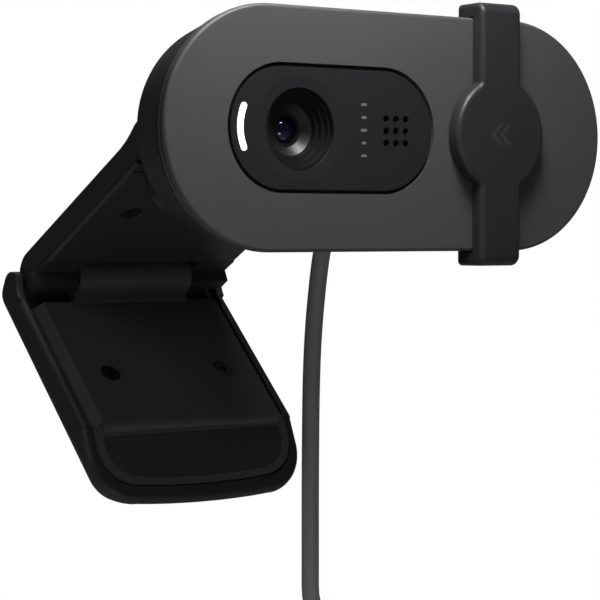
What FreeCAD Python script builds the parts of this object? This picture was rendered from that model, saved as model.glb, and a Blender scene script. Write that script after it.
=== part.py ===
import FreeCAD, Part
import math
import os

# Clip-on webcam with a sliding lens shutter, a tilting head and a folding two-leaf clip.
# Row frame in millimetres: +Z up, -Y out of the front, +X to the right as seen from the front.
# Origin: centre of the flat seat under the clip arm, where the arm rests on a screen's top edge.

V = FreeCAD.Vector
X_AXIS, Y_AXIS, Z_AXIS = V(1, 0, 0), V(0, 1, 0), V(0, 0, 1)

# Head: rounded front plate, frame behind it and tapering rear housing
head_width = 73.0
head_height = 32.1
plate_thick = 0.9
plate_edge_radius = 0.5
frame_thick = 1.35
band_groove = 0.25
band_inset = 0.15
band_groove_depth = 0.6
band_rear_radius = 0.6
frame_wall = 1.6
seam_chamfer = 0.2
housing_gap = 0.3
housing_inset = 0.45
housing_depth = 13.5
housing_taper = 0.2
housing_wall = 1.5
housing_back_radius = 5.5

# Lens panel and what shows in it
panel_width = 32.33
panel_height = 15.96
panel_groove = 0.5
panel_x = -10.4
panel_z = 0.1
panel_thick = 1.3
lens_x = -15.7
lens_opening_r = 5.3
dish_r = 6.95
dish_depth = 0.15
lens_set_back = 3.6
lens_glass_r = 1.75
lens_barrel_r = 3.6
lens_barrel_length = 2.4
led_arc_r = 6.5
led_arc_x = -18.6
led_half_angle = 24.0
led_width = 0.9
mic_pitch = 1.62
mic_hole_r = 0.5
mic_x = -0.2
board_y = 6.8
board_thick = 1.0

# Shutter that slides along the plate
shutter_x = 16.4
shutter_disc_r = 7.75
shutter_band = 7.1
shutter_wall = 2.0
shutter_clear = 0.25
shutter_hook_depth = 2.95
shutter_hook_wall = 1.85
shutter_lip = 0.4
shutter_edge_radius = 0.75

# Tilt hinge behind the head
pivot_back = 0.7
pivot_drop = 1.2
tilt_barrel_r = 2.7
tilt_pin_r = 0.9
knuckle_in = 6.1
knuckle_out = 11.0
washer_thick = 0.3
bracket_thick = 0.9

# Clip arm
rest_arm_slope = 27.4
clip_x = lens_x
arm_half_width = 16.0
arm_length = 36.2
arm_top = 1.7
arm_split = -1.9
arm_bottom = -2.65
arm_wall = 1.4
arm_roof = 1.0
arm_edge_radius = 0.6
flare_radius = 16.0
seat_start = 5.9
seat_end = 31.1
arm_screw_x = 10.0
arm_screw_y = 15.75
base_front = 2.3
lip_front = 4.3
lip_thick = 1.8
lip_drop = 4.5
lip_half_width = 12.5
lip_pad_thick = 0.6

# Clip leg
rest_leg_slope = 42.4
hinge_drop = -2.4
leg_barrel_r = 2.8
leg_barrel_half = 9.4
leg_pin_r = 0.9
sleeve_wall = 0.65
leg_face = -2.0
leg_plate_thick = 1.5
leg_plate_half = 15.75
leg_chamfer = 1.3
leg_plate_start = 3.1
leg_bend = 26.9
ridge_radius = 1.1
foot_step = 0.9
leg_tip_angle = 24.0
leg_tip_length = 8.8
leg_tip_thick = 1.4
leg_tip_corner = 5.6
leg_shell_half = 17.5
leg_rim = 2.45
leg_back_depth = 8.7
leg_back_radius = 3.0
leg_rim_radius = 1.0
leg_rim_drop = 1.0
foot_rim_radius = 1.1
leg_hollow_depth = 6.8
leg_screw_x = 9.4
leg_screw_y = 17.5
pad_inset = 1.25
pad_start = 1.7
pad_thick = 0.6

# Screws, cable and plug
screw_head_r = 1.35
screw_head_h = 0.8
screw_shank_r = 0.6
screw_boss_r = 1.9
cable_d = 2.6
cable_x = 4.2
cable_exit_z = -6.4
cable_exit_slope = 30.0
coil_mean_r = 16.0
coil_bundle_r = 5.8
coil_x = 0.4
coil_y = 26.5
coil_z = -94.2
plug_width = 12.0
plug_height = 4.5

# Named clearances
fit_gap = 0.1
run_gap = 0.05
soft_gap = 0.3
hinge_gap = 0.3


def lathe_x(radius, x0, x1, y=0.0, z=0.0):
    return Part.makeCylinder(radius, x1 - x0, V(x0, y, z), X_AXIS)


def lathe_y(radius, y0, y1, x=0.0, z=0.0):
    return Part.makeCylinder(radius, y1 - y0, V(x, y0, z), Y_AXIS)


def lathe_z(radius, z0, z1, x=0.0, y=0.0):
    return Part.makeCylinder(radius, z1 - z0, V(x, y, z0), Z_AXIS)


def block(x0, x1, y0, y1, z0, z1):
    return Part.makeBox(x1 - x0, y1 - y0, z1 - z0, V(x0, y0, z0))


def face_of(points):
    # Each step after the first point is a corner, or a pair (point on an arc, arc's end).
    edges = []
    here = points[0]
    for step in points[1:]:
        if isinstance(step, tuple):
            edges.append(Part.Arc(here, step[0], step[1]).toShape())
            here = step[1]
        else:
            edges.append(Part.LineSegment(here, step).toShape())
            here = step
    return Part.Face(Part.Wire(edges))


def side_prism(half_width, steps):
    # Side outline in (y, z), spread over the full width.
    points = []
    for step in steps:
        if isinstance(step[0], tuple):
            points.append(tuple(V(-half_width, p[0], p[1]) for p in step))
        else:
            points.append(V(-half_width, step[0], step[1]))
    return face_of(points).extrude(V(2 * half_width, 0, 0))


def stadium(width, height, y0, y1, x=0.0, z=0.0):
    return Part.Face(stadium_wire(width, height, y0, x, z)).extrude(V(0, y1 - y0, 0))


def stadium_wire(width, height, y, x=0.0, z=0.0):
    r = height / 2
    h = width / 2 - r
    corners = [V(x - h, y, z + r), V(x + h, y, z + r), V(x + h, y, z - r), V(x - h, y, z - r)]
    right = Part.Arc(corners[1], V(x + h + r, y, z), corners[2]).toShape()
    left = Part.Arc(corners[3], V(x - h - r, y, z), corners[0]).toShape()
    top = Part.LineSegment(corners[0], corners[1]).toShape()
    bottom = Part.LineSegment(corners[2], corners[3]).toShape()
    return Part.Wire([top, right, bottom, left])


def edges_at_y(shape, y, inside=None):
    found = []
    for edge in shape.Edges:
        box = edge.BoundBox
        if abs(box.YMin - y) < 1e-4 and abs(box.YMax - y) < 1e-4:
            if inside is None or inside(edge.CenterOfMass):
                found.append(edge)
    return found


def screw_y(x, y_head, z, length, toward=1.0):
    # Pan head with a cross recess; the shank runs along +Y or -Y from the head.
    head = Part.makeCylinder(screw_head_r, screw_head_h, V(x, y_head, z), Y_AXIS * toward)
    shank = Part.makeCylinder(screw_shank_r, length, V(x, y_head, z), Y_AXIS * toward)
    recess_depth = 0.45
    recess_y = y_head if toward > 0 else y_head - recess_depth
    bar = block(x - 0.8, x + 0.8, recess_y, recess_y + recess_depth, z - 0.17, z + 0.17)
    upright = block(x - 0.17, x + 0.17, recess_y, recess_y + recess_depth, z - 0.8, z + 0.8)
    return head.fuse(shank).cut(bar).cut(upright)


def screw_z(x, y, z_head, length):
    # The same screw driven upwards, with its head at the bottom.
    upright = screw_y(x, 0, 0, length)
    upright.rotate(V(x, 0, 0), X_AXIS, 90)
    upright.translate(V(0, y, z_head))
    return upright


def screw_down(x, y, z_head, length):
    # The same screw driven downwards, with its head on top.
    inverted = screw_y(x, 0, 0, length)
    inverted.rotate(V(x, 0, 0), X_AXIS, -90)
    inverted.translate(V(0, y, z_head))
    return inverted


# Places of the local frames in the row frame
seat_middle = (seat_start + seat_end) / 2
arm_turn = -rest_arm_slope
leg_turn = rest_leg_slope
pivot_in_head = V(clip_x, housing_depth + pivot_back, -pivot_drop)
arm_frame = FreeCAD.Placement(V(0, 0, 0), FreeCAD.Rotation(X_AXIS, arm_turn))
arm_frame = arm_frame.multiply(FreeCAD.Placement(V(0, -seat_middle, -arm_bottom), FreeCAD.Rotation()))
tilt_axis = arm_frame.multVec(V(0, 0, 0))
hinge_axis = arm_frame.multVec(V(0, arm_length, hinge_drop))
head_frame = FreeCAD.Placement(tilt_axis - pivot_in_head, FreeCAD.Rotation())
leg_frame = FreeCAD.Placement(hinge_axis, FreeCAD.Rotation(X_AXIS, leg_turn))

nodes = {}


def keep(name, shape, frame):
    placed = shape.removeSplitter()
    placed.Placement = frame.multiply(placed.Placement)
    nodes[name] = placed


frame_back = plate_thick + frame_thick
housing_front = frame_back + housing_gap
panel_back = panel_thick + fit_gap


def housing_radius(y, wall=0.0):
    return head_height / 2 - housing_inset - housing_taper * (y - housing_front) - wall


def housing_loft(y0, y1, wall):
    straight = head_width - head_height
    sections = []
    for y in (y0, y1):
        r = housing_radius(y, wall)
        sections.append(stadium_wire(straight + 2 * r, 2 * r, y))
    return Part.makeLoft(sections, True, True)


def make_front_plate():
    plate = stadium(head_width, head_height, 0, plate_thick)
    plate = plate.makeFillet(plate_edge_radius, edges_at_y(plate, 0))
    plate = plate.makeChamfer(seam_chamfer, edges_at_y(plate, plate_thick))
    opening = stadium(panel_width + 2 * panel_groove, panel_height + 2 * panel_groove,
                      -1, plate_thick + 1, panel_x, panel_z)
    keep("front_plate", plate.cut(opening), head_frame)


frame_screw_places = [(x, z) for x in (-25.0, 25.0) for z in (-11.2, 11.2)]


def led_arc(y0, y1, half_width):
    # Ring segment about the panel's left end, with round ends.
    start = math.radians(180 - led_half_angle)
    end = math.radians(180 + led_half_angle)
    ring = lathe_y(led_arc_r + half_width, y0, y1, led_arc_x, panel_z)
    ring = ring.cut(lathe_y(led_arc_r - half_width, y0, y1, led_arc_x, panel_z))
    reach = 3 * led_arc_r
    wedge = face_of([V(led_arc_x, y0, panel_z),
                     V(led_arc_x + reach * math.cos(start), y0, panel_z + reach * math.sin(start)),
                     V(led_arc_x + reach * math.cos(end), y0, panel_z + reach * math.sin(end)),
                     V(led_arc_x, y0, panel_z)]).extrude(V(0, y1 - y0, 0))
    bar = ring.common(wedge)
    for angle in (start, end):
        x = led_arc_x + led_arc_r * math.cos(angle)
        z = panel_z + led_arc_r * math.sin(angle)
        bar = bar.fuse(lathe_y(half_width, y0, y1, x, z))
    return bar


def make_front_frame():
    band_front = plate_thick + band_groove
    band_w, band_h = head_width - 2 * band_inset, head_height - 2 * band_inset
    frame = stadium(band_w, band_h, band_front, frame_back)
    frame = frame.makeFillet(band_rear_radius, edges_at_y(frame, frame_back))
    neck_w, neck_h = head_width - 2 * band_groove_depth, head_height - 2 * band_groove_depth
    frame = frame.fuse(stadium(neck_w, neck_h, plate_thick, band_front + 0.2))
    # The panel's pocket has a ledge behind the panel's edge.
    pocket = stadium(panel_width + 2 * panel_groove, panel_height + 2 * panel_groove,
                     plate_thick - 1, panel_back, panel_x, panel_z)
    window = stadium(panel_width - 2.4, panel_height - 2.4, panel_back - 1, frame_back + 1, panel_x, panel_z)
    frame = frame.cut(pocket).cut(window)
    # A collar fits inside the rear housing and centres the two.
    collar_r = housing_radius(frame_back + 2.4, housing_wall) - fit_gap
    straight = head_width - head_height
    collar = stadium(straight + 2 * collar_r, 2 * collar_r, frame_back - 0.2, frame_back + 2.2)
    hollow = stadium(straight + 2 * (collar_r - 1), 2 * (collar_r - 1), frame_back - 1, frame_back + 3)
    for x, z in frame_screw_places:
        collar = collar.cut(lathe_y(screw_boss_r + fit_gap, frame_back, frame_back + 3, x, z))
    frame = frame.fuse(collar.cut(hollow))
    frame = frame.cut(led_arc(panel_back - 1, frame_back + 3, led_width / 2 + fit_gap))
    for x, z in frame_screw_places:
        frame = frame.cut(lathe_y(screw_head_r + fit_gap, plate_thick - 1, plate_thick + 0.85, x, z))
        frame = frame.cut(lathe_y(screw_shank_r + fit_gap, plate_thick, frame_back + 3, x, z))
    keep("front_frame", frame, head_frame)
    screws = [screw_y(x, plate_thick + 0.05, z, 5.2) for x, z in frame_screw_places]
    keep("frame_screws", Part.makeCompound(screws), head_frame)


def make_lens_panel():
    panel = stadium(panel_width, panel_height, 0.05, panel_back, panel_x, panel_z)
    dish = Part.makeCone(dish_r, lens_opening_r, dish_depth, V(lens_x, 0.05, 0), Y_AXIS)
    panel = panel.cut(dish)
    panel = panel.cut(lathe_y(lens_opening_r + fit_gap, -1, panel_back + 1, lens_x, 0))
    panel = panel.cut(led_arc(-1, panel_back + 1, led_width / 2 + run_gap))
    for column in (-1, 0, 1):
        for row in (-1, 0, 1):
            panel = panel.cut(lathe_y(mic_hole_r, -1, panel_back + 1, mic_x + column * mic_pitch,
                                      panel_z + row * mic_pitch))
    keep("lens_panel", panel, head_frame)


def make_lens_shroud():
    # Stepped baffle rings narrow from the panel's opening down to the glass.
    top = dish_depth + 0.05
    shroud = lathe_y(lens_opening_r, top, lens_set_back, lens_x, 0)
    steps = ((5.45, 0.9), (4.9, 1.5), (4.3, 2.1), (3.7, 2.7))
    from_y = top - 1
    for radius, depth in steps:
        shroud = shroud.cut(lathe_y(radius, from_y, depth, lens_x, 0))
    cone = Part.makeCone(3.4, lens_glass_r + 0.25, lens_set_back - 2.7 + 0.2, V(lens_x, 2.7, 0), Y_AXIS)
    shroud = shroud.cut(cone)
    keep("lens_shroud", shroud, head_frame)


def make_optics():
    barrel_start = lens_set_back + fit_gap
    barrel_end = barrel_start + lens_barrel_length
    barrel = lathe_y(lens_barrel_r, barrel_start, barrel_end, lens_x, 0)
    barrel = barrel.cut(lathe_y(lens_glass_r + run_gap, barrel_start - 1, barrel_start + 0.9, lens_x, 0))
    barrel = barrel.cut(lathe_y(1.2, barrel_start, barrel_end + 1, lens_x, 0))
    barrel = barrel.cut(lathe_y(2.4 + run_gap, barrel_end - 1.3, barrel_end + 1, lens_x, 0))
    keep("lens_barrel", barrel, head_frame)
    sphere_r = 2.3
    glass = lathe_y(lens_glass_r, barrel_start - 0.35, barrel_start + 0.8, lens_x, 0)
    crown = Part.makeSphere(sphere_r, V(lens_x, barrel_start - 0.35 + sphere_r, 0))
    keep("front_lens", glass.common(crown), head_frame)
    keep("rear_lens", lathe_y(2.4, barrel_end - 1.2, barrel_end - 0.35, lens_x, 0), head_frame)
    holder = block(lens_x - 4.6, lens_x + 4.6, barrel_end - 2.2, board_y - fit_gap, -4.6, 4.6)
    holder = holder.cut(lathe_y(lens_barrel_r + run_gap, 0, barrel_end + fit_gap, lens_x, 0))
    holder = holder.cut(block(lens_x - 3.1, lens_x + 3.1, barrel_end, board_y + 1, -3.1, 3.1))
    keep("lens_holder", holder, head_frame)
    filter_y = barrel_end + 0.05
    keep("ir_filter", block(lens_x - 2.6, lens_x + 2.6, filter_y, filter_y + 0.2, -2.6, 2.6), head_frame)
    sensor = block(lens_x - 2.6, lens_x + 2.6, filter_y + 0.25, board_y - 0.02, -2.2, 2.2)
    keep("image_sensor", sensor, head_frame)


board_left, board_right = -27.5, 24.0
board_bottom, board_top = -8.4, 8.4
board_screw_places = [(-0.9, 6.8), (12.0, -6.8), (21.0, 6.8)]


def make_electronics():
    board_back = board_y + board_thick
    board = block(board_left, board_right, board_y, board_back, board_bottom, board_top)
    corners = [e for e in board.Edges if e.BoundBox.YLength > 0.9 * board_thick]
    board = board.makeFillet(2.0, corners)
    for x, z in board_screw_places:
        board = board.cut(lathe_y(screw_shank_r + fit_gap, board_y - 1, board_back + 1, x, z))
    keep("main_board", board, head_frame)
    screws = [screw_y(x, board_y - screw_head_h, z, 3.6) for x, z in board_screw_places]
    keep("board_screws", Part.makeCompound(screws), head_frame)
    processor = block(11.0, 20.0, board_y - 1.0, board_y, -3.9, 5.1)
    keep("video_processor", processor, head_frame)
    parts = []
    for index in range(6):
        x = 6.0 + 2.4 * index
        parts.append(block(x, x + 1.2, board_y - 0.6, board_y, -5.2, -4.6))
    for index in range(4):
        z = -4.5 + 2.6 * index
        parts.append(block(21.6, 22.8, board_y - 0.8, board_y, z, z + 1.2))
    keep("board_components", Part.makeCompound(parts), head_frame)
    guide = led_arc(0.02, board_y - 0.75, led_width / 2)
    keep("led_light_guide", guide, head_frame)
    led_x = led_arc_x - led_arc_r
    led = block(led_x - 0.5, led_x + 0.5, board_y - 0.7, board_y, panel_z - 1.0, panel_z + 1.0)
    keep("status_led", led, head_frame)
    mic = block(mic_x - 1.75, mic_x + 1.75, board_y - 1.0, board_y, panel_z - 1.35, panel_z + 1.35)
    keep("microphone", mic, head_frame)
    boot = block(mic_x - 2.6, mic_x + 2.6, panel_back + 0.02, board_y - 1.02, panel_z - 2.6, panel_z + 2.6)
    boot = boot.cut(block(mic_x - 2.1, mic_x + 2.1, 0, 3.0, panel_z - 2.1, panel_z + 2.1))
    boot = boot.cut(lathe_y(0.8, 2.5, board_y, mic_x, panel_z))
    keep("microphone_boot", boot, head_frame)
    header = block(cable_x - 3.5, cable_x + 3.5, board_back, board_back + 1.5, -8.6, -5.2)
    header = header.cut(block(cable_x - 2.9, cable_x + 2.9, board_back + 0.4, board_back + 2, -8.0, -5.8))
    keep("cable_header", header, head_frame)


groove_r = tilt_barrel_r + hinge_gap + 0.05
groove_half = arm_half_width + hinge_gap + 0.2
bracket_back = housing_depth + pivot_back - groove_r - housing_wall + 0.2 - fit_gap
bracket_front = bracket_back - bracket_thick
bracket_screw_places = [(clip_x + side * 8.5, -pivot_drop + rise) for side in (-1, 1) for rise in (-6.1, 6.1)]
exit_dir = V(0, math.cos(math.radians(cable_exit_slope)), -math.sin(math.radians(cable_exit_slope)))
relief_r = cable_d / 2 + 0.9
relief_out = 4.6
relief_foot = V(cable_x, housing_depth, cable_exit_z)


def relief_cylinder(radius, start, length):
    return Part.makeCylinder(radius, length, relief_foot + exit_dir * start, exit_dir)


def make_rear_housing():
    outer = housing_loft(housing_front, housing_depth, 0.0)
    outer = outer.makeFillet(housing_back_radius, edges_at_y(outer, housing_depth))
    cavity = housing_loft(housing_front - 1, housing_depth - housing_wall, housing_wall)
    cavity = cavity.makeFillet(housing_back_radius - housing_wall,
                               edges_at_y(cavity, housing_depth - housing_wall))
    px, py, pz = pivot_in_head
    bulge = lathe_x(groove_r + housing_wall - 0.2, px - groove_half - 1.2, px + groove_half + 1.2, py, pz)
    cavity = cavity.cut(bulge)
    housing = outer.cut(cavity)
    housing = housing.cut(lathe_x(groove_r, px - groove_half, px + groove_half, py, pz))
    for side in (-1, 1):
        middle = px + side * (knuckle_in + knuckle_out) / 2
        half = (knuckle_out - knuckle_in) / 2 + fit_gap
        slot = block(middle - half, middle + half, bracket_front, py, pz - 1.7, pz + 1.7)
        housing = housing.cut(slot)
    deep = housing_depth - housing_wall + 0.3
    for x, z in bracket_screw_places:
        boss = lathe_y(screw_boss_r, bracket_back + fit_gap, deep, x, z)
        housing = housing.fuse(boss).cut(lathe_y(screw_shank_r, bracket_back, deep - 0.4, x, z))
    board_back = board_y + board_thick
    for x, z in board_screw_places:
        boss = lathe_y(1.5, board_back + 0.02, deep, x, z)
        housing = housing.fuse(boss).cut(lathe_y(screw_shank_r, board_back, deep - 0.4, x, z))
    for x, z in frame_screw_places:
        boss = lathe_y(screw_boss_r, frame_back + 0.02, deep, x, z).common(outer)
        housing = housing.fuse(boss).cut(lathe_y(screw_shank_r, frame_back, deep - 0.8, x, z))
    housing = housing.cut(relief_cylinder(relief_r + fit_gap, -4, 8))
    keep("rear_housing", housing, head_frame)


def make_tilt_bracket():
    px, py, pz = pivot_in_head
    plate = block(px - 13.0, px + 13.0, bracket_front, bracket_back, pz - 7.9, pz + 7.9)
    corners = [e for e in plate.Edges if e.BoundBox.YLength > 0.5 * bracket_thick]
    plate = plate.makeFillet(2.0, corners)
    for side in (-1, 1):
        x0 = px + side * (knuckle_in + knuckle_out) / 2 - (knuckle_out - knuckle_in) / 2
        x1 = x0 + knuckle_out - knuckle_in
        neck = block(x0, x1, bracket_front + 0.1, py, pz - 1.6, pz + 1.6)
        plate = plate.fuse(neck).fuse(lathe_x(tilt_barrel_r, x0, x1, py, pz))
    plate = plate.cut(lathe_x(tilt_pin_r + run_gap, px - 14, px + 14, py, pz))
    for x, z in bracket_screw_places:
        plate = plate.cut(lathe_y(screw_shank_r + fit_gap, 0, 20, x, z))
    keep("tilt_bracket", plate, head_frame)
    screws = [screw_y(x, bracket_front - screw_head_h, z, 3.0) for x, z in bracket_screw_places]
    keep("bracket_screws", Part.makeCompound(screws), head_frame)


def make_cable_relief():
    # Flange inside the wall, straight neck, then a cone that thins towards the cable.
    bore = relief_cylinder(cable_d / 2 + 0.02, -5, 12)
    neck = relief_cylinder(relief_r, -2.2, 2.2 + 1.0)
    taper = Part.makeCone(relief_r, cable_d / 2 + 0.35, relief_out - 1.0, relief_foot + exit_dir, exit_dir)
    relief = neck.fuse(taper).cut(bore)
    for step in (1.7, 2.6, 3.5):
        ring = relief_cylinder(relief_r, step, 0.35).cut(relief_cylinder(cable_d / 2 + 0.45, step - 1, 3))
        relief = relief.cut(ring)
    keep("cable_relief", relief, head_frame)


def make_shutter():
    outer_y = -(shutter_clear + shutter_wall)
    inner_z = head_height / 2 + 0.2
    outer_z = inner_z + shutter_hook_wall
    half = shutter_band / 2
    x = shutter_x
    band = block(x - half, x + half, outer_y, shutter_hook_depth, -outer_z, outer_z)
    disc = lathe_y(shutter_disc_r, outer_y, -shutter_clear, x, 0)
    corner_edges = []
    for edge in band.Edges:
        box = edge.BoundBox
        if box.XLength > shutter_band * 0.9 and abs(box.YMin - outer_y) < 1e-4:
            corner_edges.append(edge)
    band = band.makeFillet(1.5, corner_edges)
    body = band.fuse(disc).removeSplitter()
    # Soft edges round the outline of the outer face, with small necks beside the disc.
    neck_edges = []
    for edge in body.Edges:
        box = edge.BoundBox
        on_disc = abs(math.hypot(box.XMin - x, box.ZMin) - shutter_disc_r) < 0.05
        if box.XLength < 1e-4 and box.ZLength < 1e-4 and box.YLength > 1.0 and on_disc:
            neck_edges.append(edge)
    body = body.makeFillet(0.7, neck_edges)
    rim = [e for e in body.Edges if abs(e.BoundBox.YMin - outer_y) < 1e-4 and abs(e.BoundBox.YMax - outer_y) < 1e-4
           and e.BoundBox.ZLength > 0.1]
    body = body.makeFillet(shutter_edge_radius, rim)
    inside = block(x - 20, x + 20, -shutter_clear, frame_back + 0.1, -inner_z, inner_z)
    behind = block(x - 20, x + 20, frame_back, 10, -(inner_z - 0.2 - shutter_lip), inner_z - 0.2 - shutter_lip)
    body = body.cut(inside).cut(behind)
    keep("shutter_slider", body, head_frame)
    pads = []
    for side in (-1, 1):
        z0 = side * 12.0 - 1.5
        pad = block(x - 2.6, x + 2.6, -shutter_clear, -shutter_clear + 0.15, z0, z0 + 3.0)
        pads.append(pad)
    keep("shutter_felts", Part.makeCompound(pads), head_frame)


def hinge_cylinder(radius, x0, x1):
    return lathe_x(radius, x0, x1, arm_length, hinge_drop)


arm_end_r = arm_top - hinge_drop
hood_r = leg_barrel_r + hinge_gap
lug_in = leg_barrel_half + hinge_gap
lug_out = arm_half_width - 0.2
lug_r = 2.1
hood_stop = -4.0


def make_arm_cover():
    flare_z = arm_top + flare_radius
    flare_y = math.sqrt((tilt_barrel_r + flare_radius) ** 2 - flare_z ** 2)
    touch = tilt_barrel_r / (tilt_barrel_r + flare_radius)
    barrel_top = (flare_y * touch, flare_z * touch)
    to_middle = math.atan2(barrel_top[1] - flare_z, barrel_top[0] - flare_y) / 2 + math.radians(-90) / 2
    flare_mid = (flare_y + flare_radius * math.cos(to_middle), flare_z + flare_radius * math.sin(to_middle))
    stop = math.radians(-hood_stop)
    outer_end = (arm_length + arm_end_r * math.cos(stop), hinge_drop + arm_end_r * math.sin(stop))
    inner_end = (arm_length + hood_r * math.cos(stop), hinge_drop + hood_r * math.sin(stop))
    split_angle = math.asin((arm_split - hinge_drop) / hood_r)
    inner_up = (arm_length + hood_r * math.cos(split_angle), arm_split)
    inner_mid_angle = (stop + split_angle) / 2
    inner_mid = (arm_length + hood_r * math.cos(inner_mid_angle), hinge_drop + hood_r * math.sin(inner_mid_angle))
    rear_mid = math.radians((90 - hood_stop) / 2)
    outer_mid = (arm_length + arm_end_r * math.cos(rear_mid), hinge_drop + arm_end_r * math.sin(rear_mid))
    foot = (math.sqrt(tilt_barrel_r ** 2 - arm_split ** 2), arm_split)
    cover = side_prism(arm_half_width, [
        barrel_top, (flare_mid, (flare_y, arm_top)), (arm_length, arm_top), (outer_mid, outer_end),
        inner_end, (inner_mid, inner_up), foot, ((-tilt_barrel_r, 0), barrel_top)])
    top_edges = []
    for edge in cover.Edges:
        box = edge.BoundBox
        at_side = abs(abs(box.XMin) - arm_half_width) < 1e-4 and box.XLength < 1e-4
        if at_side and box.ZMin > arm_top - 1e-3 and box.YLength > 5:
            top_edges.append(edge)
    cover = cover.makeFillet(arm_edge_radius, top_edges)
    inside = arm_half_width - arm_wall
    pocket = block(-inside, inside, 6.4, arm_length, -6, arm_top - arm_roof)
    cover = cover.cut(pocket.fuse(hinge_cylinder(hood_r, -inside, inside)))
    # Lugs beside the leg's barrel, flat in front and flush with the base plate.
    lug_front = seat_end + fit_gap
    lugs = side_prism(lug_out, [(lug_front, arm_top - 0.3), (lug_front, arm_bottom), (arm_length - lug_r, arm_bottom),
                                (arm_length - lug_r, hinge_drop - 2.0), (arm_length, hinge_drop - lug_r),
                                (arm_length, arm_top - 0.3), (lug_front, arm_top - 0.3)])
    lugs = lugs.fuse(hinge_cylinder(lug_r, -lug_out, lug_out))
    cover = cover.fuse(lugs.cut(block(-lug_in, lug_in, 20, arm_length + 9, -9, 9)))
    for side in (-1, 1):
        boss = lathe_z(screw_boss_r, arm_split + 1.0, arm_top - arm_roof + 0.2, side * arm_screw_x, arm_screw_y)
        cover = cover.fuse(boss)
        cover = cover.cut(lathe_z(screw_shank_r, arm_split, arm_top - 0.7, side * arm_screw_x, arm_screw_y))
    cover = cover.cut(hinge_cylinder(leg_pin_r + run_gap, -lug_out - 1, lug_out + 1))
    # The head's two knuckles and their washers sit in gaps of the front barrel.
    for side in (-1, 1):
        gap_in = knuckle_in - 0.15
        gap_out = knuckle_out + washer_thick + 0.2
        x0 = gap_in if side > 0 else -gap_out
        gap = block(x0, x0 + gap_out - gap_in, -4, 3.4, -4, 4)
        cover = cover.cut(gap)
    cover = cover.cut(lathe_x(tilt_pin_r + run_gap, -15.0, arm_half_width + 1))
    keep("arm_cover", cover, arm_frame)


def make_arm_base():
    base = block(-arm_half_width + 0.1, arm_half_width - 0.1, base_front, seat_end, arm_bottom, arm_split - 0.02)
    sides = [e for e in base.Edges if e.BoundBox.YLength > 5 and e.BoundBox.ZMin < arm_bottom + 1e-4
             and e.BoundBox.ZLength < 1e-4]
    base = base.makeChamfer(0.35, sides)
    stiffener_half = arm_half_width - arm_wall - 0.2
    ribs = block(-stiffener_half, stiffener_half, 6.6, seat_end, arm_split - 0.1, arm_split + 0.9)
    ribs = ribs.cut(block(-stiffener_half + 1.2, stiffener_half - 1.2, 7.8, seat_end - 1.2, arm_split, 3))
    base = base.fuse(ribs)
    for side in (-1, 1):
        base = base.fuse(lathe_z(screw_boss_r + 0.5, arm_split - 0.1, arm_split + 0.9,
                                 side * arm_screw_x, arm_screw_y))
    lip = block(-lip_half_width, lip_half_width, lip_front, lip_front + lip_thick,
                arm_bottom - lip_drop, arm_bottom + 0.2)
    corners = [e for e in lip.Edges if e.BoundBox.YLength > 0.9 * lip_thick
               and e.BoundBox.ZMax < arm_bottom - 1]
    base = base.cut(block(-arm_half_width, arm_half_width, base_front - 1, lip_front, arm_bottom - 1,
                          arm_bottom + 0.15))
    base = base.fuse(lip.makeFillet(2.0, corners))
    behind_lip = lip_front + lip_thick
    base = base.cut(block(-lip_half_width, lip_half_width, behind_lip, behind_lip + lip_pad_thick + 0.1,
                          arm_bottom - 1, arm_bottom + 0.3))
    for side in (-1, 1):
        x = side * arm_screw_x
        base = base.cut(lathe_z(screw_head_r + 0.15, arm_bottom - 1, arm_bottom + 1.0, x, arm_screw_y))
        base = base.cut(lathe_z(screw_shank_r + fit_gap, arm_bottom, arm_split + 2, x, arm_screw_y))
    keep("arm_base_plate", base, arm_frame)
    screws = [screw_z(side * arm_screw_x, arm_screw_y, arm_bottom + 0.15, 2.7) for side in (-1, 1)]
    keep("arm_screws", Part.makeCompound(screws), arm_frame)
    pad = block(-lip_half_width + 1, lip_half_width - 1, lip_front + lip_thick,
                lip_front + lip_thick + lip_pad_thick, arm_bottom - lip_drop + 0.5, arm_bottom - 0.6)
    corners = [e for e in pad.Edges if e.BoundBox.YLength > 0.9 * lip_pad_thick
               and e.BoundBox.ZMax < arm_bottom - 1]
    keep("lip_pad", pad.makeFillet(1.6, corners), arm_frame)


def make_hinge_hardware():
    keep("tilt_pin", lathe_x(tilt_pin_r, -14.9, arm_half_width - 0.3), arm_frame)
    washers = []
    for side in (-1, 1):
        x0 = knuckle_out + 0.1 if side > 0 else -knuckle_out - 0.1 - washer_thick
        ring = lathe_x(tilt_barrel_r - 0.3, x0, x0 + washer_thick)
        washers.append(ring.cut(lathe_x(tilt_pin_r + run_gap, x0 - 1, x0 + 1)))
    keep("tilt_washers", Part.makeCompound(washers), arm_frame)
    keep("leg_pin", hinge_cylinder(leg_pin_r, -lug_out + 0.1, lug_out - 0.1), arm_frame)


def tip_turn(shape):
    # Bends a flat piece back about the line where the leg's face ends.
    shape.rotate(V(0, -leg_bend, leg_face), X_AXIS, leg_tip_angle)
    return shape


def tip_outline(half, start, length, corner, z):
    # Flat tongue with rounded corners and a slightly bowed end, running towards -Y.
    y0, y1 = -leg_bend - start, -leg_bend - length
    bow = 0.5
    r = corner
    c = r * (1 - math.cos(math.radians(45)))
    return face_of([V(-half, y0, z), V(half, y0, z), V(half, y1 + r, z),
                    (V(half - c, y1 + c, z), V(half - r, y1, z)),
                    (V(0, y1 - bow, z), V(-half + r, y1, z)),
                    (V(-half + c, y1 + c, z), V(-half, y1 + r, z)), V(-half, y0, z)])


def tip_slab(half, start, length, corner, z0, z1):
    return tip_turn(tip_outline(half, start, length, corner, z0).extrude(V(0, 0, z1 - z0)))


sleeve_r = leg_pin_r + run_gap + sleeve_wall


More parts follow.
